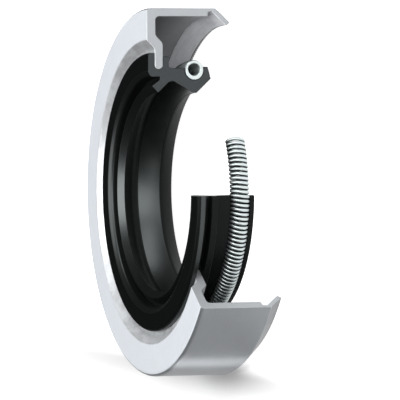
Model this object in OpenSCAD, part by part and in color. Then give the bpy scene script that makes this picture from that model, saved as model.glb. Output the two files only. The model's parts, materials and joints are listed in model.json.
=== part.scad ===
// Radial shaft seal, cut away to show its section: a pressed steel case, a moulded rubber lip
// bonded round the end of the case's flange, and a garter spring in the lip's groove.
// The ring lies on its back with its axis along Z. The back rim stands on z = 0 and the
// flange faces up. Seen from above, 12 o'clock is +Y and 3 o'clock is +X.

/* [Overall] */
// Diameter of the shaft that the main lip runs on
shaft_d = 28; // [27:0.1:30]
// Diameter of the housing bore that the case presses into
housing_d = 52; // [51:0.1:54]
// Width of the whole seal along its axis
seal_w = 12.5; // [12:0.1:14]

/* [Cutaway] */
// Angle taken out of the case, clockwise from 12 o'clock
case_cut_angle = 126.5; // [100:0.5:150]
// Angle taken out of the rubber lip, clockwise from 12 o'clock
lip_cut_angle = 90.6; // [80:0.2:95]
// Angle taken out of the garter spring, clockwise from 12 o'clock
spring_cut_angle = 64.6; // [50:0.2:80]

/* [Steel case] */
// Thickness of the pressed sheet
case_t = 1.2; // [1:0.05:1.3]
// Thickness of the flange behind the flat front face
face_t = 1.3; // [1.1:0.05:1.4]
// Diameter where the flat front face ends and the step begins
face_d = 42.8; // [42:0.1:43.5]
// Depth of the step between the front face and the inner part of the flange
step_depth = 1.2; // [1:0.05:1.4]
// Extra radius of the step's back, which is pressed thicker than the sheet
step_back = 0.84; // [0.6:0.02:1]
// Diameter of the hole through the flange
flange_hole_d = 34.8; // [34.2:0.1:35.2]
// Radius on the front outer edge
front_edge_r = 0.6; // [0.3:0.05:0.8]
// Radius in the corner between wall and flange
inner_corner_r = 0.55; // [0.3:0.05:0.8]
// Radius on the edge between the front face and the step
face_edge_r = 0.25; // [0.1:0.05:0.4]
// Radius at the foot of the step
step_foot_r = 0.9; // [0.5:0.05:1]
// Radius of the bends on the back of the step
step_back_r = 0.8; // [0.4:0.05:1]
// Radius on the edges of the flange hole
flange_end_r = 0.5; // [0.3:0.05:0.55]

/* [Bent back rim] */
// Depth from the front face at which the wall bends inwards
bend_depth = 10.4; // [10.2:0.05:10.8]
// Angle of the bent rim to the axis
rim_angle = 43; // [38:0.5:48]
// Thickness of the bent rim
rim_t = 0.72; // [0.6:0.02:0.8]
// Depth from the front face at which the bending groove begins
groove_depth = 9.22; // [9:0.02:9.3]
// Steel left outside the bending groove
groove_wall = 0.5; // [0.4:0.02:0.6]
// Radius in the corner of the bending groove
groove_corner_r = 0.3; // [0.2:0.02:0.35]
// Radius on the outside of the bend
bend_r = 0.3; // [0.1:0.05:0.5]
// Slant of the rim's end, whose inner side is shorter than its outer side
rim_slant = 12; // [0:1:20]
// Radius on the edges of the rim's end
rim_edge_r = 0.15; // [0.05:0.01:0.25]

/* [Rubber round the flange] */
// How far the rubber on the front lies behind the steel face
cover_inset = 0.15; // [0.1:0.01:0.3]
// Steel left bare between the foot of the step and the rubber on the front
cover_gap = 0.55; // [0.45:0.05:0.9]
// Radius on the outer edge of the rubber on the front
cover_edge_r = 0.45; // [0.2:0.05:0.6]
// Steel left bare between the back of the step and the rubber on the back
backing_gap = 1.89; // [1.5:0.01:2.2]
// Thickness of the rubber on the back
backing_t = 0.92; // [0.8:0.02:1.1]
// Rubber between the flange hole and the nose
nose_t = 1.1; // [0.9:0.05:1.2]
// Radial height of the chamfer on the nose
nose_chamfer_h = 0.72; // [0.5:0.02:0.9]
// Axial depth of the chamfer on the nose
nose_chamfer_w = 0.38; // [0.2:0.02:0.6]

/* [Dust lip] */
// Clearance between the dust lip's tip and the shaft
dust_clearance = 0.03; // [0.02:0.01:0.1]
// Depth of the dust lip's tip from the front face
dust_tip_depth = 1.68; // [1.5:0.02:1.9]
// Depth of the notch between nose and dust lip
notch_depth = 1.97; // [1.8:0.02:2.2]
// Radial height of the notch
notch_h = 0.45; // [0.3:0.05:0.6]
// Height of the dust lip's outer edge above its tip
dust_edge_h = 0.94; // [0.7:0.02:1.1]
// Depth of the dust lip's outer edge from the front face
dust_edge_depth = 0.8; // [0.6:0.02:1]
// Angle of the dust lip's inner side to the axis
dust_angle = 43; // [40:0.5:46]
// Radius of the hollow between the two lips
hollow_r = 1; // [0.6:0.05:1.2]

/* [Main lip] */
// Depth of the sealing edge's middle from the front face
edge_depth = 7.25; // [7.1:0.05:7.4]
// Width of the sealing edge that touches the shaft
edge_w = 0.5; // [0.3:0.05:0.6]
// Angle of the air side to the axis
air_angle = 29; // [27:0.5:31]
// Angle of the oil side to the axis
oil_angle = 43; // [40:0.5:46]
// Height of the heel above the sealing edge
heel_h = 2; // [1.8:0.02:2.2]
// Rubber behind the spring groove
bead_t = 0.6; // [0.5:0.02:0.8]
// How far the rubber in front of the spring rises above the spring's centre line
front_rise = 0.23; // [0.1:0.01:0.4]
// How far the rubber behind the spring rises above the spring's centre line
back_rise = 0.43; // [0.3:0.01:0.6]
// Radius between the lip's arm and the rubber on the flange
arm_fillet_r = 0.3; // [0.2:0.05:0.5]
// Radius on the small edges of the rubber
rubber_edge_r = 0.1; // [0.05:0.01:0.15]

/* [Garter spring] */
// Diameter of the circle that the spring's centre line follows
spring_circle_d = 34.54; // [34.3:0.02:34.8]
// Depth of the spring's centre line from the front face
spring_depth = 7.14; // [7:0.02:7.3]
// Outer diameter of the coil
coil_d = 2.8; // [2.6:0.02:2.9]
// Diameter of the wire
wire_d = 0.46; // [0.36:0.01:0.5]
// Distance from turn to turn along the centre line
coil_pitch = 0.5903; // [0.56:0.0001:0.65]
// Clearance between the coil and its groove
spring_clearance = 0.05; // [0.03:0.01:0.1]

/* [Hidden] */

// Direction of the section that every piece shares
twelve_oclock = 90;
full_turn = 360;
half_turn = full_turn / 2;
right_angle = full_turn / 4;
// Largest turn of one facet on a rounded corner of an outline
corner_step = 15;
// Facets of the spring groove's circle
groove_fn = 72;
// Straight lengths in each turn of the coil, and sides of its wire
coil_steps = 7;
wire_sides = 5;

shaft_r = shaft_d / 2;
housing_r = housing_d / 2;
wall_r = housing_r - case_t;
face_r = face_d / 2;
hole_r = flange_hole_d / 2;
step_foot = face_r - step_depth;
step_rear = step_foot + step_back;
flange_back = step_depth + case_t;
flange_middle = step_depth + case_t / 2;

// The bent rim: its outer side starts at the bend and its lowest point is on z = 0
rim_corner = right_angle - rim_slant;
rim_rounding = rim_edge_r * (cos(rim_angle - rim_corner / 2) / sin(rim_corner / 2) - 1);
rim_len = (seal_w - bend_depth + rim_rounding) / cos(rim_angle);
rim_end_r = housing_r - rim_len * sin(rim_angle);
rim_end_depth = bend_depth + rim_len * cos(rim_angle);
rim_inner_r = rim_end_r - rim_t * cos(rim_angle + rim_slant) / cos(rim_slant);
rim_inner_depth = rim_end_depth - rim_t * sin(rim_angle + rim_slant) / cos(rim_slant);
groove_r = housing_r - groove_wall;
groove_end_depth = rim_inner_depth - (groove_r - rim_inner_r) / tan(rim_angle);

// The rubber's edges on the flange
cover_r = step_foot - cover_gap;
backing_r = step_rear - backing_gap;

// The two lips: each side runs from its tip at its own angle, and they meet in the hollow
nose_r = hole_r - nose_t;
dust_tip_r = shaft_r + dust_clearance;
edge_front = edge_depth - edge_w / 2;
edge_back = edge_depth + edge_w / 2;
hollow_depth = (shaft_r - dust_tip_r + edge_front * tan(air_angle) + dust_tip_depth * tan(dust_angle))
    / (tan(air_angle) + tan(dust_angle));
hollow_top_r = shaft_r + (edge_front - hollow_depth) * tan(air_angle);
heel_depth = edge_back + heel_h / tan(oil_angle);

// The spring and its groove
spring_r = spring_circle_d / 2;
coil_r = coil_d / 2;
wire_r = wire_d / 2;
seat_r = coil_r + spring_clearance;
bead_depth = spring_depth + seat_r + bead_t;
pitch_angle = coil_pitch / spring_r * half_turn / PI;
spring_arc = full_turn - spring_cut_angle;
// Half a wire is left free at each end, so that the wire starts and stops at the cut planes
end_angle = wire_r / spring_r * half_turn / PI;
turns = (spring_arc - 2 * end_angle) / pitch_angle;
rings = ceil(turns * coil_steps);

// Unit vector from one point to another
function towards(a, b) = (b - a) / norm(b - a);

// Points of the arc that rounds corner b between its neighbours a and c
function rounded_corner(a, b, c, r) =
    let (
        u = towards(b, a),
        v = towards(b, c),
        half = acos(u * v) / 2,
        centre = b + (u + v) / norm(u + v) * r / sin(half),
        first = b + u * r / tan(half) - centre,
        sweep = (half_turn - 2 * half) * sign(-cross(u, v)),
        steps = ceil(abs(sweep) / corner_step)
    )
    [for (i = [0:steps]) let (t = sweep * i / steps)
        centre + [first.x * cos(t) - first.y * sin(t), first.x * sin(t) + first.y * cos(t)]];

// Outline of a section from corners given as [radius, depth, rounding]
function section_points(corners) =
    let (
        n = len(corners),
        flat = [for (k = corners) [k[0], seal_w - k[1]]]
    )
    [for (i = [0:n - 1])
        each corners[i][2] > 0
            ? rounded_corner(flat[(i + n - 1) % n], flat[i], flat[(i + 1) % n], corners[i][2])
            : [flat[i]]];

// The case's section, from the front outer edge inwards and back along the inside
function case_corners() = [
    [housing_r, 0, front_edge_r],
    [face_r, 0, face_edge_r],
    [step_foot, step_depth, step_foot_r],
    [hole_r, step_depth, flange_end_r],
    [hole_r, flange_back, flange_end_r],
    [step_rear, flange_back, step_back_r],
    [step_rear + flange_back - face_t, face_t, step_back_r],
    [wall_r, face_t, inner_corner_r],
    [wall_r, groove_depth, 0],
    [groove_r, groove_depth, groove_corner_r],
    [groove_r, groove_end_depth, 0],
    [rim_inner_r, rim_inner_depth, rim_edge_r],
    [rim_end_r, rim_end_depth, rim_edge_r],
    [housing_r, bend_depth, bend_r],
];

// The lip's section before the flange and the spring groove are taken out of it
function lip_corners() = [
    [cover_r, flange_middle, 0],
    [cover_r, cover_inset, cover_edge_r],
    [nose_r + nose_chamfer_h, cover_inset, rubber_edge_r],
    [nose_r, cover_inset + nose_chamfer_w, rubber_edge_r],
    [nose_r, notch_depth, rubber_edge_r],
    [nose_r - notch_h, notch_depth, rubber_edge_r],
    [dust_tip_r + dust_edge_h, dust_edge_depth, rubber_edge_r],
    [dust_tip_r, dust_tip_depth, 0],
    [hollow_top_r, hollow_depth, hollow_r],
    [shaft_r, edge_front, 0],
    [shaft_r, edge_back, 0],
    [shaft_r + heel_h, heel_depth, rubber_edge_r],
    [spring_r + back_rise, bead_depth, rubber_edge_r],
    [spring_r + back_rise, spring_depth, 0],
    [spring_r + front_rise, spring_depth, 0],
    [spring_r + front_rise, flange_back + backing_t, arm_fillet_r],
    [backing_r, flange_back + backing_t, rubber_edge_r],
    [backing_r, flange_middle, 0],
];

module case_section() {
    polygon(section_points(case_corners()));
}

module lip_section() {
    difference() {
        polygon(section_points(lip_corners()));
        case_section();
        translate([spring_r, seal_w - spring_depth])
            circle(r = seat_r, $fn = groove_fn);
    }
}

// Turns a section round the axis, counter-clockwise from 12 o'clock, short of a full turn by the cut angle
module cut_ring(cut_angle) {
    rotate([0, 0, twelve_oclock])
        rotate_extrude(angle = full_turn - cut_angle, $fn = groove_fn)
            children();
}

// Pressed steel case with its stepped flange and its bent back rim
module outer_case() {
    color([0.86, 0.87, 0.89])
        cut_ring(case_cut_angle)
            case_section();
}

// Moulded rubber with the dust lip in front and the spring-loaded main lip behind
module sealing_lip() {
    color([0.1, 0.11, 0.11])
        cut_ring(lip_cut_angle)
            lip_section();
}

// One corner of the wire: the coil turns round the ring's centre line as it runs along it
function wire_point(ring, side) =
    let (
        turn = ring / rings * turns,
        coil_angle = full_turn * turn,
        ring_angle = twelve_oclock + end_angle + pitch_angle * turn,
        wire_angle = full_turn * side / wire_sides,
        from_coil = coil_r - wire_r + wire_r * cos(wire_angle),
        along = wire_r * sin(wire_angle),
        r = spring_r + from_coil * cos(coil_angle)
    )
    [
        r * cos(ring_angle) - along * sin(ring_angle),
        r * sin(ring_angle) + along * cos(ring_angle),
        seal_w - spring_depth + from_coil * sin(coil_angle)
    ];

// Garter spring: one close-wound wire that follows the lip's groove and runs on past its end
module garter_spring() {
    points = [for (i = [0:rings], j = [0:wire_sides - 1]) wire_point(i, j)];
    sides = [for (i = [0:rings - 1], j = [0:wire_sides - 1])
        let (
            k = (j + 1) % wire_sides,
            a = i * wire_sides,
            b = a + wire_sides
        )
        each [[a + j, a + k, b + k], [a + j, b + k, b + j]]];
    start = [for (j = [wire_sides - 1:-1:0]) j];
    finish = [for (j = [0:wire_sides - 1]) rings * wire_sides + j];
    color([0.82, 0.85, 0.86])
        polyhedron(points = points, faces = concat(sides, [start, finish]));
}

outer_case();
sealing_lip();
garter_spring();
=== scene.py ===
"""Cut-away radial shaft seal: pressed steel case, moulded rubber lip and garter spring.

All lengths are in metres. The ring lies on its back with its axis along Z. Its back rim stands on
z = 0, the flange faces up, 12 o'clock is +Y and 3 o'clock is +X. A section is drawn in the plane of
radius and depth, where depth is measured from the flange's front face, and is then turned round Z.
"""

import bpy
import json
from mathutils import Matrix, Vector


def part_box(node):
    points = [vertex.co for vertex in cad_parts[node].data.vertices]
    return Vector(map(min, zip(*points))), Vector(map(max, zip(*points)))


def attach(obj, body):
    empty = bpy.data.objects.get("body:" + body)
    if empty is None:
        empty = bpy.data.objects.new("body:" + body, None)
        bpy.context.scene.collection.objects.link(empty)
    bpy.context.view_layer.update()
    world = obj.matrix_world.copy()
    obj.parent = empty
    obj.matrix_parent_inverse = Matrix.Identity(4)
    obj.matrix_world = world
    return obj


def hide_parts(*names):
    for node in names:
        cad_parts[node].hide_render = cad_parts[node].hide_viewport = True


bl_info = {
    "name": "Cut-away shaft seal",
    "version": (1, 0, 0),
    "blender": (4, 5, 0),
    "location": "3D View > Sidebar > Shaft Seal",
    "description": "Builds a cut-away radial shaft seal with its lip and garter spring",
    "category": "Object",
}

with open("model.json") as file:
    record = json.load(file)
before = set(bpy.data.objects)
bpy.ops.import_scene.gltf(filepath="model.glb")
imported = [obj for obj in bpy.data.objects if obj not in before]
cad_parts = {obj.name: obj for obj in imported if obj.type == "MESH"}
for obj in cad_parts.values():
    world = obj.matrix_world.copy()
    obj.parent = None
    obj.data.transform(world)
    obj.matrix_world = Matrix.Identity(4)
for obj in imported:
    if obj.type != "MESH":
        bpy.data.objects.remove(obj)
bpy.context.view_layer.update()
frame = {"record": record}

import json
import math

import bpy
import numpy as np
from bpy.props import FloatProperty, FloatVectorProperty, IntProperty, PointerProperty
from mathutils import Matrix, Vector

MM = 0.001
FULL_TURN = 2 * math.pi
TWELVE_OCLOCK = math.radians(90)

case_low, case_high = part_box("outer_case")
HOUSING_R = -case_low.x
SEAL_W = case_high.z
SHAFT_R = next(m["dims"]["r_mm"] for m in frame["record"]["mounts"] if m["name"] == "shaft") * MM


def length(name, millimetres, description):
    """A length that is written in millimetres and stored in metres."""
    return FloatProperty(
        name=name, description=description, default=millimetres * MM, precision=5, unit="LENGTH")


def angle(name, degrees, description):
    return FloatProperty(name=name, description=description, default=math.radians(degrees), subtype="ANGLE")


def span(name, start, stop, description):
    """Two lengths or places, from which and to which something changes."""
    return FloatVectorProperty(
        name=name, description=description, default=(start * MM, stop * MM), size=2, precision=4,
        unit="LENGTH")


def share(name, value, description):
    return FloatProperty(name=name, description=description, default=value, min=0, max=1, subtype="FACTOR")


def colour(name, value, description):
    return FloatVectorProperty(
        name=name, description=description, default=value, size=3, min=0, max=1, subtype="COLOR")


class SealOverall(bpy.types.PropertyGroup):
    """Sizes that all pieces share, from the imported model, and the angles that are cut away."""
    shaft_r: length("Shaft radius", SHAFT_R / MM, "Radius of the shaft that the main lip runs on")
    housing_r: length("Housing radius", HOUSING_R / MM, "Radius of the bore that the case presses into")
    seal_w: length("Width", SEAL_W / MM, "Width of the whole seal along its axis")
    case_gap: angle("Case gap", 126.5, "Angle taken out of the case, clockwise from 12 o'clock")
    lip_gap: angle("Lip gap", 90.6, "Angle taken out of the rubber, clockwise from 12 o'clock")
    spring_gap: angle("Spring gap", 64.6, "Angle taken out of the spring, clockwise from 12 o'clock")
    edge_break: length("Edge break", 0.05, "Radius left on the edges of the cut faces")
    break_steps: IntProperty(name="Edge break steps", description="Facets across each such edge", default=3)
    station: angle("Station", 1.0, "Turn between two neighbouring stations of a revolved surface")
    corner_step: angle("Corner step", 7.5, "Turn of one facet on a rounded corner of a section")


class CaseSizes(bpy.types.PropertyGroup):
    """The pressed steel case."""
    case_t: length("Sheet thickness", 1.2, "Thickness of the pressed sheet")
    face_t: length("Flange thickness", 1.3, "Thickness of the flange behind the flat front face")
    face_r: length("Face radius", 21.4, "Radius where the flat front face ends and the step begins")
    step_depth: length("Step depth", 1.2, "Depth of the step between front face and inner flange")
    step_back: length("Step back", 0.84, "Extra radius of the step's back")
    hole_r: length("Flange hole radius", 17.4, "Radius of the hole through the flange")
    front_edge_r: length("Front edge rounding", 0.6, "Radius on the front outer edge")
    inner_corner_r: length("Inner corner rounding", 0.55, "Radius in the corner of wall and flange")
    face_edge_r: length("Face edge rounding", 0.25, "Radius on the edge of face and step")
    step_foot_r: length("Step foot rounding", 0.9, "Radius at the foot of the step")
    step_back_r: length("Step back rounding", 0.8, "Radius of the bends on the back of the step")
    flange_end_r: length("Flange end rounding", 0.5, "Radius on the edges of the flange hole")
    bend_depth: length("Bend depth", 10.4, "Depth at which the wall bends inwards")
    rim_angle: angle("Rim angle", 43, "Angle of the bent rim to the axis")
    rim_slant: angle("Rim slant", 12, "Slant of the rim's end")
    rim_t: length("Rim thickness", 0.72, "Thickness of the bent rim")
    rim_edge_r: length("Rim edge rounding", 0.15, "Radius on the edges of the rim's end")
    groove_depth: length("Groove depth", 9.22, "Depth at which the bending groove begins")
    groove_wall: length("Groove wall", 0.5, "Steel left outside the bending groove")
    groove_corner_r: length("Groove rounding", 0.3, "Radius in the corner of the bending groove")
    bend_r: length("Bend rounding", 0.3, "Radius on the outside of the bend")
    least_r: length("Least rounding", 0.06, "Radius on edges that are sharp to the eye")


class LipSizes(bpy.types.PropertyGroup):
    """The moulded rubber with its dust lip and main lip."""
    cover_inset: length("Cover inset", 0.15, "How far the rubber lies behind the steel face")
    cover_r: length("Cover radius", 19.65, "Outer radius of the rubber on the front")
    cover_edge_r: length("Cover rounding", 0.45, "Radius on the outer edge of that rubber")
    backing_r: length("Backing radius", 19.15, "Outer radius of the rubber on the back")
    backing_t: length("Backing thickness", 0.92, "Thickness of the rubber on the back")
    nose_t: length("Nose thickness", 1.1, "Rubber between the flange hole and the nose")
    nose_chamfer_h: length("Nose chamfer height", 0.72, "Radial height of the chamfer on the nose")
    nose_chamfer_w: length("Nose chamfer width", 0.38, "Axial depth of the chamfer on the nose")
    nose_edge_r: length("Nose edge rounding", 0.4, "Radius on both edges of that chamfer")
    dust_clearance: length("Dust lip clearance", 0.03, "Clearance between the dust lip and the shaft")
    dust_tip_depth: length("Dust tip depth", 1.68, "Depth of the dust lip's tip")
    notch_depth: length("Notch depth", 1.97, "Depth of the notch between nose and dust lip")
    notch_h: length("Notch height", 0.45, "Radial height of that notch")
    dust_edge_h: length("Dust edge height", 0.94, "Height of the dust lip's outer edge above its tip")
    dust_edge_depth: length("Dust edge depth", 0.8, "Depth of the dust lip's outer edge")
    dust_angle: angle("Dust lip angle", 43, "Angle of the dust lip's inner side to the axis")
    hollow_r: length("Hollow rounding", 1.0, "Radius of the hollow between the two lips")
    edge_depth: length("Edge depth", 7.25, "Depth of the sealing edge's middle")
    edge_w: length("Edge width", 0.5, "Width of the sealing edge that touches the shaft")
    air_angle: angle("Air side angle", 29, "Angle of the air side to the axis")
    oil_angle: angle("Oil side angle", 43, "Angle of the oil side to the axis")
    heel_h: length("Heel height", 2.0, "Height of the heel above the sealing edge")
    bead_t: length("Bead thickness", 0.6, "Rubber behind the spring groove")
    front_rise: length("Front rise", 0.23, "Rise of the rubber in front of the spring")
    back_rise: length("Back rise", 0.43, "Rise of the rubber behind the spring")
    arm_fillet_r: length("Arm fillet", 0.3, "Radius between the arm and the flange's rubber")
    rubber_edge_r: length("Edge rounding", 0.1, "Radius on the small edges of the rubber")


class SpringSizes(bpy.types.PropertyGroup):
    """The garter spring, a close-wound coil that follows a circle."""
    spring_r: length("Spring radius", 17.27, "Radius of the circle that the centre line follows")
    spring_depth: length("Spring depth", 7.14, "Depth of that circle from the front face")
    coil_r: length("Coil radius", 1.4, "Outer radius of the coil")
    wire_r: length("Wire radius", 0.27, "Radius of the wire")
    coil_pitch: length("Pitch", 0.5903, "Distance from turn to turn along the centre line")
    clearance: length("Clearance", 0.05, "Clearance between the coil and its groove")
    first_angle: angle("First angle", 219.5, "Place of the wire in the first cut plane, from outside")
    turn_steps: IntProperty(name="Steps", description="Lengths in each turn of the coil", default=24)
    wire_sides: IntProperty(name="Sides", description="Sides of the round wire", default=12)


class SealFinish(bpy.types.PropertyGroup):
    """Colours of steel, rubber and wire."""
    face_colour: colour("Front face", (0.65, 0.68, 0.72), "Pale satin steel of the flange")
    step_colour: colour("Step", (0.88, 0.905, 0.925), "Brighter brushed steel of the step")
    wall_colour: colour("Outer wall", (0.325, 0.34, 0.358), "Ground steel of the outer wall")
    bend_colour: colour("Bent rim", (0.185, 0.19, 0.197), "Outer side of the bent rim")
    # Painted shade: the inside of the case is made near black, as the steel looks where it lies in shade
    inside_painted_shade_colour: colour("Inside", (0.098, 0.101, 0.107), "Drawn steel of the inside and the groove")
    # Painted light: the inner side of the bent rim is far paler and more matt than the rest of the steel,
    # as if lit from behind
    rim_painted_light_colour: colour("Rim inside", (0.93, 0.94, 0.98), "Inner side of the bent rim")
    cut_colour: colour("Steel section", (0.29, 0.304, 0.318), "Milled section through the steel")
    rubber_colour: colour("Rubber", (0.0035, 0.004, 0.004), "Moulded black rubber")
    rubber_cut_colour: colour("Rubber section", (0.033, 0.037, 0.039), "Section through the rubber")
    wire_colour: colour("Wire", (0.42, 0.46, 0.46), "Bright drawn spring wire")


class StageSettings(bpy.types.PropertyGroup):
    """Camera, floor and light. The camera's angles turn it from straight in front of the flange."""
    view_turn: angle("Turn", 69.007, "How far the view turns to the ring's right hand side")
    view_rise: angle("Rise", 1.359, "How far the view is raised")
    view_roll: angle("Roll", 0.182, "How far the picture is rolled")
    view_distance: length("Distance", 563.6, "Distance from the camera to the front face's plane")
    aim_right: length("Aim right", 7.374, "Picture's middle, to the right of the axis")
    aim_up: length("Aim up", -1.103, "Picture's middle, above the axis")
    aim_depth: length("Aim depth", 0.05, "Picture's middle, behind the front face")
    lens: FloatProperty(name="Lens", description="Focal length in mm", default=359.5, unit="CAMERA")
    sensor: FloatProperty(name="Sensor", description="Sensor width in mm", default=36, unit="CAMERA")
    clip: span("Clip", 10, 10000, "Nearest and furthest distance that the camera sees")
    floor_size: length("Floor size", 1600, "Side of the square floor")
    floor_colour: colour("Floor", (0.8, 0.8, 0.8), "Pale floor")
    shadow_colour: colour("Floor shadow", (0.78, 0.78, 0.78), "Share of the lamps' light in the background")
    back_lift: share("Back lift", 0.95, "Light of the background behind the ring")
    floor_lift: share("Floor lift", 0.34, "Light of the background below the ring")
    lift_fall: span("Lift fall", -26.5, -23.5, "Along Y, from the lower light to the higher")
    shade_low: span("Shade below", -30.5, -26.5, "Along Y, from no fading to full fading")
    shade_behind: span("Shade behind", -95, -35, "Along X on the far side, from no fading to full fading")
    shade_front: span("Shade in front", 40, 12, "Along X on the near side, from no fading to full fading")
    sky_colour: colour("Surroundings", (0.95, 0.97, 1.0), "Colour of the studio around the object")
    sky_strength: share("Surroundings strength", 0.02, "Level of the light from all round")


def unit(vector):
    """The vector's direction, at length 1."""
    return vector / np.linalg.norm(vector)


def rounded_section(corners, corner_step):
    """Points and outward normals of a closed outline in the plane of radius and height.

    A corner is (radius, depth, rounding, finish). Its arc has its centre on the corner's bisector,
    at rounding / sin(half angle), and touches both sides. A rounding of 0 leaves a single point.
    The arc and the side after it belong to the corner's finish. Returns points, normals and finish
    numbers as arrays."""
    flat = np.array([(c[0], SEAL_W - c[1]) for c in corners])
    before, after = np.roll(flat, 1, axis=0), np.roll(flat, -1, axis=0)
    facing = np.sign(np.sum(flat[:, 0] * after[:, 1] - after[:, 0] * flat[:, 1]))
    points, normals, finishes = [], [], []
    for a, b, c, (_, _, rounding, finish) in zip(before, flat, after, corners):
        u, v = unit(a - b), unit(c - b)
        half = math.acos(np.clip(u @ v, -1, 1)) / 2
        centre = b + unit(u + v) * rounding / math.sin(half)
        turn = math.copysign(math.pi - 2 * half, u[1] * v[0] - u[0] * v[1])
        arm = unit((v @ u) * u - v)
        steps = max(2, math.ceil(abs(turn) / corner_step) + 1)
        t = np.linspace(0, turn, steps) if rounding else np.array([turn / 2])
        arc = np.stack(
            [arm[0] * np.cos(t) - arm[1] * np.sin(t), arm[0] * np.sin(t) + arm[1] * np.cos(t)], axis=1)
        points.append(centre + arc * rounding)
        normals.append(arc * math.copysign(1, turn) * facing)
        finishes.append(np.full(len(t), finish))
    return np.concatenate(points), np.concatenate(normals), np.concatenate(finishes)


def circle_arc(centre, radius, start, stop, step):
    """Points and normals of the hollow arc of a groove, from angle start to angle stop."""
    t = np.linspace(start, stop, math.ceil(abs(stop - start) / step) + 1)
    spoke = np.stack([np.cos(t), np.sin(t)], axis=1)
    return centre + radius * spoke, -spoke


def grid_faces(rows, columns):
    """Quads of a grid whose columns close on themselves, as rows of four vertex numbers."""
    i, j = np.meshgrid(np.arange(rows - 1), np.arange(columns), indexing="ij")
    k = (j + 1) % columns
    quads = np.stack(
        [i * columns + j, (i + 1) * columns + j, (i + 1) * columns + k, i * columns + k], axis=-1)
    return quads.reshape(-1, 4)


def cut_ring(section, sweep, overall):
    """Turns a section round Z from the cut plane at 12 o'clock to the other cut plane.

    Vertex (i, j) is section point j turned to the angle of station i. At each cut plane the edge is
    broken by a quarter circle: at its parameter t the point lies edge_break (1 - cos t) from the
    plane and edge_break (1 - sin t) inside the outline. Returns the vertices, their normals and the
    angle that each station is turned by, as whole arrays."""
    points, normals, _ = section
    t = np.linspace(0, math.pi / 2, overall.break_steps + 1)
    steps = math.ceil(sweep / overall.station)
    middle = np.linspace(0, sweep, steps + 1)[1:-1]
    zero = np.zeros_like(middle)
    turn = np.concatenate([0 * t, middle, sweep + 0 * t])
    shift = np.concatenate([1 - np.cos(t), zero, np.cos(t[::-1]) - 1]) * overall.edge_break
    inset = np.concatenate([1 - np.sin(t), zero, 1 - np.sin(t[::-1])]) * overall.edge_break
    lean = np.concatenate([-np.cos(t), zero, np.cos(t[::-1])])
    upright = np.sqrt(1 - lean ** 2)
    angles = TWELVE_OCLOCK + turn
    spoke = np.stack([np.cos(angles), np.sin(angles), 0 * angles], axis=1)[:, None]
    along = np.stack([-np.sin(angles), np.cos(angles), 0 * angles], axis=1)[:, None]
    axis = np.array([0, 0, 1.0])
    inner = points[None] - normals[None] * inset[:, None, None]
    verts = spoke * inner[..., :1] + axis * inner[..., 1:] + along * shift[:, None, None]
    facing = (spoke * normals[None, :, :1] + axis * normals[None, :, 1:]) * upright[:, None, None]
    facing = facing + along * lean[:, None, None]
    return verts.reshape(-1, 3), facing.reshape(-1, 3), turn


def make_piece(name, verts, faces, uv, normals=None, groups=None):
    """A mesh object at the origin from whole arrays. If the volume inside its quads comes out
    negative, all faces point inwards and are turned round."""
    quads = np.array([f for f in faces if len(f) == 4])
    a, b, c, d = (verts[quads[:, i]] for i in range(4))
    volume = np.sum(np.cross(b - a, c - a) * a) + np.sum(np.cross(c - a, d - a) * a)
    if volume < 0:
        faces = [f[::-1] for f in faces]
        uv = [u[::-1] for u in uv]
    mesh = bpy.data.meshes.new(name)
    mesh.from_pydata(verts.tolist(), [], [list(map(int, f)) for f in faces])
    mesh.polygons.foreach_set("use_smooth", np.ones(len(faces), bool))
    if groups is not None:
        mesh.polygons.foreach_set("material_index", np.asarray(groups, np.int32))
    layer = mesh.uv_layers.new(name="UVMap")
    layer.data.foreach_set("uv", np.concatenate(uv).astype(np.float32).ravel())
    mesh.update()
    if normals is not None:
        mesh.normals_split_custom_set_from_vertices(normals.tolist())
    piece = bpy.data.objects.new(name, mesh)
    bpy.context.scene.collection.objects.link(piece)
    return piece


def make_ring(name, section, gap, overall, cut_finish):
    """A ring that lacks the gap's angle, with its two flat cut faces. UV is in metres: length round the
    ring at the housing's radius, and length along the outline; on a cut face, radius and height."""
    points, _, finishes = section
    count = len(points)
    verts, normals, turn = cut_ring(section, FULL_TURN - gap, overall)
    rows = len(turn)
    quads = grid_faces(rows, count)
    outline = np.concatenate([[0], np.cumsum(np.linalg.norm(np.roll(points, -1, axis=0) - points, axis=1))])
    i, j = np.divmod(np.arange(len(quads)), count)
    u = turn * overall.housing_r
    side = np.stack([
        np.stack([u[i], outline[j]], axis=1), np.stack([u[i + 1], outline[j]], axis=1),
        np.stack([u[i + 1], outline[j + 1]], axis=1), np.stack([u[i], outline[j + 1]], axis=1)], axis=1)
    faces = list(quads) + [np.arange(count), np.arange(count)[::-1] + (rows - 1) * count]
    uv = list(side) + [points, points[::-1]]
    groups = np.concatenate([finishes[j], [cut_finish, cut_finish]])
    return make_piece(name, verts, faces, uv, normals, groups)


# Finish numbers of the case and of the rubber, in the order in which their materials are added
FACE, STEP, INSIDE_PAINTED_SHADE, RIM_PAINTED_LIGHT, BEND, WALL, CUT = range(7)
GLOSSY, SLEEK, DULL, RUBBER_CUT = range(4)


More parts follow.
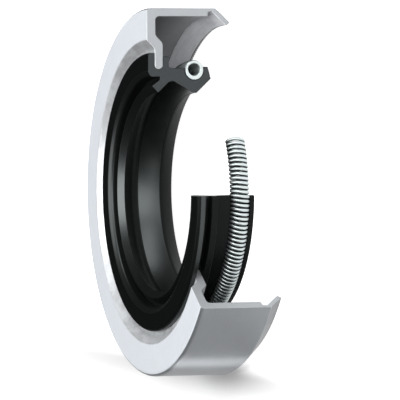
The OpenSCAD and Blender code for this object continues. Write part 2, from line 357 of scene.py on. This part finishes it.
def case_section(overall, case):
    """The case's outline, from the front outer edge inwards and back along the inside."""
    c = case
    flange_back = c.step_depth + c.case_t
    wall_r = overall.housing_r - c.case_t
    rim_corner = math.radians(90) - c.rim_slant
    rounding = c.rim_edge_r * (math.cos(c.rim_angle - rim_corner / 2) / math.sin(rim_corner / 2) - 1)
    rim_len = (overall.seal_w - c.bend_depth + rounding) / math.cos(c.rim_angle)
    rim_end_r = overall.housing_r - rim_len * math.sin(c.rim_angle)
    rim_end_depth = c.bend_depth + rim_len * math.cos(c.rim_angle)
    lean = c.rim_angle + c.rim_slant
    rim_inner_r = rim_end_r - c.rim_t * math.cos(lean) / math.cos(c.rim_slant)
    rim_inner_depth = rim_end_depth - c.rim_t * math.sin(lean) / math.cos(c.rim_slant)
    groove_r = overall.housing_r - c.groove_wall
    groove_end_depth = rim_inner_depth - (groove_r - rim_inner_r) / math.tan(c.rim_angle)
    step_back_r = c.face_r + c.step_back - c.step_depth
    points, normals, finishes = rounded_section([
        (overall.housing_r, 0, c.front_edge_r, FACE),
        (c.face_r, 0, c.face_edge_r, STEP),
        (c.face_r - c.step_depth, c.step_depth, c.step_foot_r, STEP),
        (c.hole_r, c.step_depth, c.flange_end_r, STEP),
        (c.hole_r, flange_back, c.flange_end_r, INSIDE_PAINTED_SHADE),
        (step_back_r, flange_back, c.step_back_r, INSIDE_PAINTED_SHADE),
        (step_back_r + flange_back - c.face_t, c.face_t, c.step_back_r, INSIDE_PAINTED_SHADE),
        (wall_r, c.face_t, c.inner_corner_r, INSIDE_PAINTED_SHADE),
        # The groove and the rim's end face also take the inside's painted shade, as dark lines along the
        # rim's inner side
        (wall_r, c.groove_depth, c.least_r, INSIDE_PAINTED_SHADE),
        (groove_r, c.groove_depth, c.groove_corner_r, INSIDE_PAINTED_SHADE),
        (groove_r, groove_end_depth, c.least_r, RIM_PAINTED_LIGHT),
        (rim_inner_r, rim_inner_depth, c.rim_edge_r, INSIDE_PAINTED_SHADE),
        (rim_end_r, rim_end_depth, c.rim_edge_r, BEND),
        (overall.housing_r, c.bend_depth, c.bend_r, WALL),
    ], overall.corner_step)
    # The outer half of the rounded front edge is ground together with the wall
    finishes[points[:, 0] > overall.housing_r - c.front_edge_r / 2] = WALL
    return points, normals, finishes


def lip_section(overall, case, lip, spring):
    """The rubber's outline: round the front, the two lips and the bead, through the spring groove,
    along the arm and the backing, and back round the end of the steel flange."""
    flange_back = case.step_depth + case.case_t
    nose_r = case.hole_r - lip.nose_t
    dust_tip_r = overall.shaft_r + lip.dust_clearance
    edge_front = lip.edge_depth - lip.edge_w / 2
    edge_back = lip.edge_depth + lip.edge_w / 2
    air, dust = math.tan(lip.air_angle), math.tan(lip.dust_angle)
    hollow_depth = (
        overall.shaft_r - dust_tip_r + edge_front * air + lip.dust_tip_depth * dust) / (air + dust)
    hollow_top_r = overall.shaft_r + (edge_front - hollow_depth) * air
    heel_depth = edge_back + lip.heel_h / math.tan(lip.oil_angle)
    seat_r = spring.coil_r + spring.clearance
    bead_depth = spring.spring_depth + seat_r + lip.bead_t
    back_r, front_r = spring.spring_r + lip.back_rise, spring.spring_r + lip.front_rise
    back_reach = math.sqrt(seat_r ** 2 - lip.back_rise ** 2)
    front_reach = math.sqrt(seat_r ** 2 - lip.front_rise ** 2)
    small, least = lip.rubber_edge_r, case.least_r
    points, normals, finishes = rounded_section([
        (lip.cover_r, case.step_depth, least, GLOSSY),
        (lip.cover_r, lip.cover_inset, lip.cover_edge_r, DULL),
        (nose_r + lip.nose_chamfer_h, lip.cover_inset, lip.nose_edge_r, SLEEK),
        (nose_r, lip.cover_inset + lip.nose_chamfer_w, lip.nose_edge_r, GLOSSY),
        (nose_r, lip.notch_depth, small, GLOSSY),
        (nose_r - lip.notch_h, lip.notch_depth, small, GLOSSY),
        (dust_tip_r + lip.dust_edge_h, lip.dust_edge_depth, small, SLEEK),
        (dust_tip_r, lip.dust_tip_depth, least, DULL),
        (hollow_top_r, hollow_depth, lip.hollow_r, DULL),
        (overall.shaft_r, edge_front, 0, DULL),
        (overall.shaft_r, edge_back, 0, DULL),
        (overall.shaft_r + lip.heel_h, heel_depth, small, DULL),
        (back_r, bead_depth, small, DULL),
        (back_r, spring.spring_depth + back_reach, 0, DULL),
        (front_r, spring.spring_depth - front_reach, 0, DULL),
        (front_r, flange_back + lip.backing_t, lip.arm_fillet_r, DULL),
        (lip.backing_r, flange_back + lip.backing_t, small, DULL),
        (lip.backing_r, flange_back, least, DULL),
        (case.hole_r, flange_back, case.flange_end_r, GLOSSY),
        (case.hole_r, case.step_depth, case.flange_end_r, GLOSSY),
    ], overall.corner_step)
    # The straight air side, from the hollow's arc to the sealing edge, is glossy
    sealing_edge = np.array([overall.shaft_r, SEAL_W - edge_front])
    finishes[np.argmin(np.linalg.norm(points - sealing_edge, axis=1)) - 1] = GLOSSY
    centre = np.array([spring.spring_r, SEAL_W - spring.spring_depth])
    groove, hollow = circle_arc(
        centre, seat_r, -math.atan2(back_reach, lip.back_rise),
        math.atan2(front_reach, lip.front_rise) - FULL_TURN, overall.corner_step)
    place = 1 + int(np.argmin(np.linalg.norm(points - groove[0], axis=1)))
    points = np.insert(points, place, groove[1:-1], axis=0)
    normals = np.insert(normals, place, hollow[1:-1], axis=0)
    return points, normals, np.insert(finishes, place, np.full(len(groove) - 2, DULL))


def helix_tube(overall, spring):
    """The wire of the garter spring as a tube on a helix round a circle, cut off flat at both ends.

    With turn count t the coil angle is p = first_angle + 2 pi t and the place on the circle is
    start + pitch angle t. The wire's middle lies coil radius less wire radius from the circle. Round
    it, corner k is at wire radius (cos q N + sin q B), with N away from the coil's middle and
    B = T x N. A corner past a cut plane moves back onto it, no further from the wire's middle than
    half the chord, sqrt(wire radius^2 - distance^2), that the plane cuts out of the wire there.
    Returns the vertices and the number of rows."""
    s = spring
    pitch_angle = s.coil_pitch / s.spring_r
    sweep = FULL_TURN - overall.spring_gap
    past = s.wire_r / s.coil_pitch
    turns = sweep / pitch_angle + 2 * past
    t = np.linspace(-past, turns - past, math.ceil(turns * s.turn_steps) + 1)
    coil = s.first_angle + FULL_TURN * t
    place = TWELVE_OCLOCK + pitch_angle * t
    spoke = np.stack([np.cos(place), np.sin(place), 0 * place], axis=1)
    out = spoke * np.cos(coil)[:, None] + np.array([0, 0, 1.0]) * np.sin(coil)[:, None]
    middle = spoke * s.spring_r + out * (s.coil_r - s.wire_r)
    middle[:, 2] += SEAL_W - s.spring_depth
    tangent = np.gradient(middle, axis=0)
    tangent /= np.linalg.norm(tangent, axis=1)[:, None]
    normal = out - tangent * np.sum(out * tangent, axis=1)[:, None]
    normal /= np.linalg.norm(normal, axis=1)[:, None]
    side = np.cross(tangent, normal)
    q = np.arange(s.wire_sides) / s.wire_sides * FULL_TURN
    ring = np.cos(q)[None, :, None] * normal[:, None] + np.sin(q)[None, :, None] * side[:, None]
    verts = middle[:, None] + ring * s.wire_r
    for cut, way in ((TWELVE_OCLOCK, -1), (TWELVE_OCLOCK + sweep, 1)):
        across = way * np.array([-math.sin(cut), math.cos(cut), 0])
        near = np.abs(place - cut) < pitch_angle
        beyond = verts @ across
        gone = (beyond > 0) & near[:, None]
        half_chord = np.sqrt(np.maximum(s.wire_r ** 2 - (middle @ across) ** 2, 0))[:, None]
        reach = np.clip(np.sum((verts - middle[:, None]) * out[:, None], axis=2), -half_chord, half_chord)
        flat = (middle - (middle @ across)[:, None] * across)[:, None] + reach[..., None] * out[:, None]
        verts = np.where(gone[..., None], flat, verts)
    return verts.reshape(-1, 3), len(t)


class Signal:
    """A number inside a material. Sums, differences and products of it add Math nodes."""

    def __init__(self, finish, socket):
        self.finish = finish
        self.socket = socket

    def math(self, operation, first, second):
        node = self.finish.node("ShaderNodeMath", {"operation": operation}, {0: first, 1: second})
        return Signal(self.finish, node.outputs[0])

    def cosine(self):
        return self.math("COSINE", self, 0.0)

    def __add__(self, other):
        return self.math("ADD", self, other)

    def __sub__(self, other):
        return self.math("SUBTRACT", self, other)

    def __rsub__(self, other):
        return self.math("SUBTRACT", other, self)

    def __mul__(self, other):
        return self.math("MULTIPLY", self, other)

    __radd__ = __add__
    __rmul__ = __mul__


class Finish:
    """A node material, or the world."""

    def __init__(self, name, owner=None):
        self.owner = owner or bpy.data.materials.new(name)
        self.owner.use_nodes = True
        self.tree = self.owner.node_tree
        self.tree.nodes.clear()

    def node(self, kind, settings, inputs):
        """Adds any node. Its settings come first, and then the values or links of its sockets."""
        node = self.tree.nodes.new(kind)
        for key, value in settings.items():
            setattr(node, key, value)
        for key, value in inputs.items():
            self.feed(node.inputs[key], value)
        return node

    def feed(self, socket, value):
        if isinstance(value, Signal):
            value = value.socket
        if isinstance(value, bpy.types.NodeSocket):
            self.tree.links.new(value, socket)
        elif hasattr(value, "__len__") and len(value) == 3 and socket.type == "RGBA":
            socket.default_value = (*value, 1)
        else:
            socket.default_value = value

    def signal(self, kind, settings, inputs):
        """The first output of a new node."""
        return Signal(self, self.node(kind, settings, inputs).outputs[0])

    def end(self, shader, kind="ShaderNodeOutputMaterial"):
        """Joins the shader to a new output and returns the material or world."""
        self.node(kind, {}, {"Surface": shader.outputs[0]})
        return self.owner


# Repeats of each pattern in a metre
STEEL_LINES, STEEL_BLOTCHES = 260, 320
RUBBER_BLOTCHES, RUBBER_SKIN = 350, 9000
WIRE_MARKS = 2500

# Levels of detail in a noise, for soft blotches and for fine lines, and how strong the finer ones are
SOFT, FINE = 2.0, 3.0
NOISE_ROUGHNESS = 0.6

# Bump strength and full depth of the lines in steel and of the skin on rubber
LINE_BUMP = (0.25, 0.004 * MM)
SKIN_BUMP = (0.15, 0.003 * MM)

# Values of steel's pattern at which it is still pale and already dark
PALE_TO_DARK = (0.38, 0.62)
QUARTER_TURN = 0.25

# The tint of the rubber's highlights, and how much the roughness of rubber and wire varies
RUBBER_SHEEN = (0.92, 1.0, 1.0)
RUBBER_SPREAD = 0.05
WIRE_ROUGHNESS, WIRE_SPREAD = 0.4, 0.08

# Painted shade in the gaps between the wire's turns: how much darker it makes them, the squared cosine at
# which the wire's side is still bright and already dark, and the turns from the wire's end at which it
# begins and is full
PAINTED_GAP_SHADE = 0.93
PAINTED_GAP_SIDES = (0.67, 0.27)
PAINTED_GAP_TURNS = (0.95, 1.1)

# Sockets of a Mix node that mixes colours
MIX_FACTOR, MIX_A, MIX_B, MIX_RESULT = 0, 6, 7, 2


def grain(finish, coordinates, scale, stretch=(1, 1, 1), detail=SOFT):
    """Noise from 0 to 1 on coordinates that are multiplied by scale and stretch first."""
    place = finish.node("ShaderNodeMapping", {}, {
        "Vector": coordinates, "Scale": tuple(scale * s for s in stretch)})
    return finish.signal("ShaderNodeTexNoise", {}, {
        "Vector": place.outputs[0], "Scale": 1.0, "Detail": detail, "Roughness": NOISE_ROUGHNESS})


def fade(finish, value, start, stop):
    """0 on the side of start and 1 on the side of stop, with a soft step between them."""
    return finish.signal("ShaderNodeMapRange", {"interpolation_type": "SMOOTHSTEP"}, {
        "Value": value, "From Min": start, "From Max": stop, "To Min": 0.0, "To Max": 1.0})


def tint(finish, base, amount, mask):
    """The base colour, darker by the amount where the mask is 1."""
    dark = tuple(c * (1 - amount) for c in base)
    mix = finish.node("ShaderNodeMix", {"data_type": "RGBA"}, {MIX_FACTOR: mask, MIX_A: base, MIX_B: dark})
    return mix.outputs[MIX_RESULT]


def spread(pattern, middle, width):
    """A value that varies by the width round its middle, as the pattern goes from 0 to 1."""
    return (pattern - 0.5) * width + middle


def bump(finish, height, strength, depth):
    """A normal for a surface whose height goes from 0 to the depth."""
    node = finish.node("ShaderNodeBump", {}, {"Strength": strength, "Distance": depth, "Height": height})
    return node.outputs[0]


def steel(name, base, roughness, metallic, shade=0.12, rough_spread=0.08, stretch=(1, 14, 1),
          scale=STEEL_LINES, anisotropic=0.0, specular=0.5):
    """Steel with soft blotches, and with fine lines that run round the ring, as turning and brushing
    leave them. Together they darken it by up to shade. The lines alone vary its roughness and
    height."""
    finish = Finish(name)
    uv = finish.node("ShaderNodeTexCoord", {}, {}).outputs["UV"]
    lines = grain(finish, uv, scale, stretch, FINE)
    blotches = grain(finish, uv, STEEL_BLOTCHES)
    shader = finish.node("ShaderNodeBsdfPrincipled", {}, {
        "Base Color": tint(finish, base, shade, fade(finish, (lines + blotches) * 0.5, *PALE_TO_DARK)),
        "Metallic": metallic,
        "Roughness": spread(lines, roughness, rough_spread),
        "Specular IOR Level": specular,
        "Anisotropic": anisotropic,
        "Anisotropic Rotation": QUARTER_TURN,
        "Normal": bump(finish, lines, *LINE_BUMP)})
    return finish.end(shader)


def rubber(name, base, roughness, specular, shade=0.25):
    """Black rubber with soft blotches and a very fine moulded skin."""
    finish = Finish(name)
    place = finish.node("ShaderNodeTexCoord", {}, {}).outputs["Object"]
    blotches = grain(finish, place, RUBBER_BLOTCHES)
    shader = finish.node("ShaderNodeBsdfPrincipled", {}, {
        "Base Color": tint(finish, base, shade, blotches),
        "Roughness": spread(blotches, roughness, RUBBER_SPREAD),
        "Specular IOR Level": specular,
        "Specular Tint": RUBBER_SHEEN,
        "Normal": bump(finish, grain(finish, place, RUBBER_SKIN), *SKIN_BUMP)})
    return finish.end(shader)


def drawn_wire(base, turns):
    """Bright wire with painted shade in the gaps between its turns, but not at its two cut ends.

    U counts the turns along the wire, and V goes from 0 to 1 round it, from its outer side. So the
    cosine of 2 pi V is 0 where the wire faces its neighbours."""
    finish = Finish("drawn_wire")
    coordinates = finish.node("ShaderNodeTexCoord", {}, {})
    marks = grain(finish, coordinates.outputs["Object"], WIRE_MARKS)
    split = finish.node("ShaderNodeSeparateXYZ", {}, {0: coordinates.outputs["UV"]})
    turn, way_round = Signal(finish, split.outputs[0]), Signal(finish, split.outputs[1])
    facing = (way_round * FULL_TURN).cosine()
    begin, full = PAINTED_GAP_TURNS
    ends = fade(finish, turn, begin, full) * fade(finish, turn, turns - begin, turns - full)
    # Painted shade where the wire's side faces its neighbours, faded out at both ends
    gap = fade(finish, facing * facing, *PAINTED_GAP_SIDES) * ends
    shader = finish.node("ShaderNodeBsdfPrincipled", {}, {
        "Base Color": tint(finish, base, PAINTED_GAP_SHADE, gap),
        "Metallic": 1.0,
        "Roughness": spread(marks, WIRE_ROUGHNESS, WIRE_SPREAD)})
    return finish.end(shader)


class SEAL_OT_case(bpy.types.Operator):
    """Builds the pressed steel case in place of its plain solid"""
    bl_idname = "seal.case"
    bl_label = "Steel case"

    def execute(self, context):
        scene = context.scene
        overall, case, look = scene.seal_overall, scene.seal_case, scene.seal_finish
        section = case_section(overall, case)
        piece = make_ring("steel_case", section, overall.case_gap, overall, CUT)
        for finish in (
            steel("satin_face", look.face_colour, roughness=0.5, metallic=0.03, shade=0.03, specular=0.25),
            steel("brushed_step", look.step_colour, roughness=0.43, metallic=0.6, shade=0.25,
                  rough_spread=0.15, stretch=(1, 3, 1), scale=330),
            # Near black inside: painted shade
            steel("drawn_inside_painted_shade", look.inside_painted_shade_colour, roughness=0.4, metallic=0.6),
            # Pale, matt rim inside: painted light
            steel("rim_inside_painted_light", look.rim_painted_light_colour, roughness=0.45, metallic=0.0),
            steel("bent_rim", look.bend_colour, roughness=0.4, metallic=0.6),
            steel("ground_wall", look.wall_colour, roughness=0.42, metallic=0.7, shade=0.03,
                  anisotropic=1.0),
            steel("milled_section", look.cut_colour, roughness=0.5, metallic=0.3, shade=0.03),
        ):
            piece.data.materials.append(finish)
        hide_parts("outer_case")
        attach(piece, "root")
        return {"FINISHED"}


class SEAL_OT_lip(bpy.types.Operator):
    """Builds the moulded rubber with its dust lip and main lip in place of its plain solid"""
    bl_idname = "seal.lip"
    bl_label = "Rubber lip"

    def execute(self, context):
        scene = context.scene
        overall, look = scene.seal_overall, scene.seal_finish
        section = lip_section(overall, scene.seal_case, scene.seal_lip, scene.seal_spring)
        piece = make_ring("rubber_lip", section, overall.lip_gap, overall, RUBBER_CUT)
        for finish in (
            rubber("moulded_rubber", look.rubber_colour, roughness=0.34, specular=0.54),
            rubber("sleek_rubber", look.rubber_colour, roughness=0.3, specular=0.78),
            rubber("dull_rubber", look.rubber_colour, roughness=0.45, specular=0.08),
            rubber("rubber_section", look.rubber_cut_colour, roughness=0.6, specular=0.2, shade=0.1),
        ):
            piece.data.materials.append(finish)
        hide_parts("sealing_lip")
        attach(piece, "root")
        return {"FINISHED"}


class SEAL_OT_spring(bpy.types.Operator):
    """Builds the garter spring from one round wire in place of its faceted solid"""
    bl_idname = "seal.spring"
    bl_label = "Garter spring"

    def execute(self, context):
        scene = context.scene
        spring = scene.seal_spring
        verts, rows = helix_tube(scene.seal_overall, spring)
        sides = spring.wire_sides
        caps = [np.arange(sides), np.arange(sides)[::-1] + (rows - 1) * sides]
        faces = list(grid_faces(rows, sides)) + caps
        i, j = np.divmod(np.arange((rows - 1) * sides), sides)
        corners = ((0, 0), (1, 0), (1, 1), (0, 1))
        side = np.stack([np.stack([i + a, j + b], axis=1) for a, b in corners], axis=1)
        flat = np.zeros((sides, 2))
        uv = list(side / (spring.turn_steps, sides)) + [flat, flat]
        piece = make_piece("spring_wire", verts, faces, uv)
        turns = (rows - 1) / spring.turn_steps
        piece.data.materials.append(drawn_wire(scene.seal_finish.wire_colour, turns))
        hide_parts("garter_spring")
        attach(piece, "root")
        return {"FINISHED"}


SOFTBOXES = {
    # name: (direction to the lamp, distance, height, width, brightness)
    "key_softbox": ((0.78, 0.17, 0.6), 0.5, 0.28, 0.26, 6.0),
    "high_softbox": ((0.22, 0.06, 0.98), 0.5, 0.2, 0.3, 6.6),
    "top_softbox": ((-0.25, 0.05, 0.97), 0.5, 0.2, 0.35, 2.6),
    "side_softbox": ((0.36, 0.8, 0.47), 0.5, 0.2, 0.45, 4.6),
    "low_softbox": ((1.0, 0.0, 0.22), 0.5, 0.2, 0.7, 2.4),
    "rim_strip": ((-0.424, -0.906, 0.05), 0.129, 0.01, 0.022, 19.0),
}


def softbox(name, direction, distance, height, width, brightness):
    """An area lamp that faces the ring. Its power gives the stated brightness over its area."""
    lamp = bpy.data.lights.new(name, "AREA")
    lamp.shape = "RECTANGLE"
    lamp.size, lamp.size_y = width, height
    lamp.energy = brightness * math.pi * width * height
    stand = bpy.data.objects.new(name, lamp)
    away = Vector(direction).normalized()
    turned = away.to_track_quat("Z", "Y").to_matrix().to_4x4()
    stand.matrix_world = Matrix.Translation(away * distance) @ turned
    bpy.context.scene.collection.objects.link(stand)


def floor_finish(stage):
    """Pale and matt. Where it is the background of a view, a reflection or a glass, light is added.

    That light has a higher level behind the ring and a lower one below it, and the lower one fades out
    beside the ring's lower edge. There the ring's shadow shows, and the pale floor without the added light
    also reads as a grey strip, a painted shadow."""
    finish = Finish("pale_floor")
    rays = finish.node("ShaderNodeLightPath", {}, {})
    seen = [Signal(finish, rays.outputs[name]) for name in
            ("Is Camera Ray", "Is Glossy Ray", "Is Transmission Ray")]
    matt = finish.node("ShaderNodeBsdfDiffuse", {}, {"Color": stage.floor_colour})
    shadow = finish.node("ShaderNodeBsdfDiffuse", {}, {"Color": stage.shadow_colour})
    place = finish.node("ShaderNodeTexCoord", {}, {}).outputs["Object"]
    split = finish.node("ShaderNodeSeparateXYZ", {}, {0: place})
    along, across = Signal(finish, split.outputs[0]), Signal(finish, split.outputs[1])
    back = fade(finish, across, *stage.lift_fall)
    # Where below and beside are both 1 the lower light is gone: a painted shadow strip beside the ring's
    # lower edge
    below = fade(finish, across, *reversed(stage.lift_fall)) * fade(finish, across, *stage.shade_low)
    beside = fade(finish, along, *stage.shade_behind) * fade(finish, along, *stage.shade_front)
    lift = back * (stage.back_lift - stage.floor_lift) + (1 - below * beside) * stage.floor_lift
    level = finish.node("ShaderNodeCombineColor", {}, {0: lift, 1: lift, 2: lift})
    glow = finish.node("ShaderNodeEmission", {}, {"Color": level.outputs[0], "Strength": 1.0})
    lifted = finish.node("ShaderNodeAddShader", {}, {0: shadow.outputs[0], 1: glow.outputs[0]})
    both = finish.node("ShaderNodeMixShader", {}, {
        0: seen[0] + seen[1] + seen[2], 1: matt.outputs[0], 2: lifted.outputs[0]})
    return finish.end(both)


class SEAL_OT_stage(bpy.types.Operator):
    """Sets up the floor, the soft light and the camera"""
    bl_idname = "seal.stage"
    bl_label = "Floor, light and camera"

    def execute(self, context):
        scene = context.scene
        stage, overall = scene.seal_stage, scene.seal_overall
        half = stage.floor_size / 2
        corners = np.array([(-half, -half, 0), (half, -half, 0), (half, half, 0), (-half, half, 0)])
        mesh = bpy.data.meshes.new("floor")
        mesh.from_pydata(corners.tolist(), [], [[0, 1, 2, 3]])
        floor = bpy.data.objects.new("floor", mesh)
        scene.collection.objects.link(floor)
        mesh.materials.append(floor_finish(stage))

        world = bpy.data.worlds.new("studio")
        sky = Finish("studio", world)
        glow = sky.node("ShaderNodeBackground", {}, {
            "Color": stage.sky_colour, "Strength": stage.sky_strength})
        sky.end(glow, "ShaderNodeOutputWorld")
        scene.world = world
        for name, values in SOFTBOXES.items():
            softbox(name, *values)

        turned = (Matrix.Rotation(stage.view_roll, 4, "Z") @ Matrix.Rotation(stage.view_rise, 4, "X")
                  @ Matrix.Rotation(-stage.view_turn, 4, "Y"))
        back = turned.inverted()
        aim = back @ Vector((stage.aim_right, stage.aim_up, 0))
        face = Vector((0, 0, overall.seal_w - stage.aim_depth))
        lens = bpy.data.cameras.new("camera")
        lens.lens, lens.sensor_width = stage.lens, stage.sensor
        lens.clip_start, lens.clip_end = stage.clip
        camera = bpy.data.objects.new("camera", lens)
        place = face + aim + back @ Vector((0, 0, stage.view_distance))
        camera.matrix_world = Matrix.Translation(place) @ back
        scene.collection.objects.link(camera)
        scene.camera = camera
        scene.view_settings.view_transform = "Standard"
        return {"FINISHED"}


class SEAL_PT_panel(bpy.types.Panel):
    """Lists the pieces of the seal"""
    bl_label = "Shaft Seal"
    bl_space_type = "VIEW_3D"
    bl_region_type = "UI"
    bl_category = "Shaft Seal"

    def draw(self, context):
        for operator in OPERATORS:
            self.layout.operator(operator.bl_idname)
        for group in GROUPS:
            column = self.layout.column()
            for key in GROUPS[group].__annotations__:
                column.prop(getattr(context.scene, group), key)


GROUPS = {
    "seal_overall": SealOverall,
    "seal_case": CaseSizes,
    "seal_lip": LipSizes,
    "seal_spring": SpringSizes,
    "seal_finish": SealFinish,
    "seal_stage": StageSettings,
}
OPERATORS = (SEAL_OT_case, SEAL_OT_lip, SEAL_OT_spring, SEAL_OT_stage)
CLASSES = (*GROUPS.values(), *OPERATORS, SEAL_PT_panel)


def register():
    for cls in CLASSES:
        bpy.utils.register_class(cls)
    for name, group in GROUPS.items():
        setattr(bpy.types.Scene, name, PointerProperty(type=group))


def unregister():
    for name in GROUPS:
        delattr(bpy.types.Scene, name)
    for cls in reversed(CLASSES):
        bpy.utils.unregister_class(cls)


def main():
    register()
    bpy.ops.seal.case()
    bpy.ops.seal.lip()
    bpy.ops.seal.spring()
    bpy.ops.seal.stage()


if __name__ == "__main__":
    main()
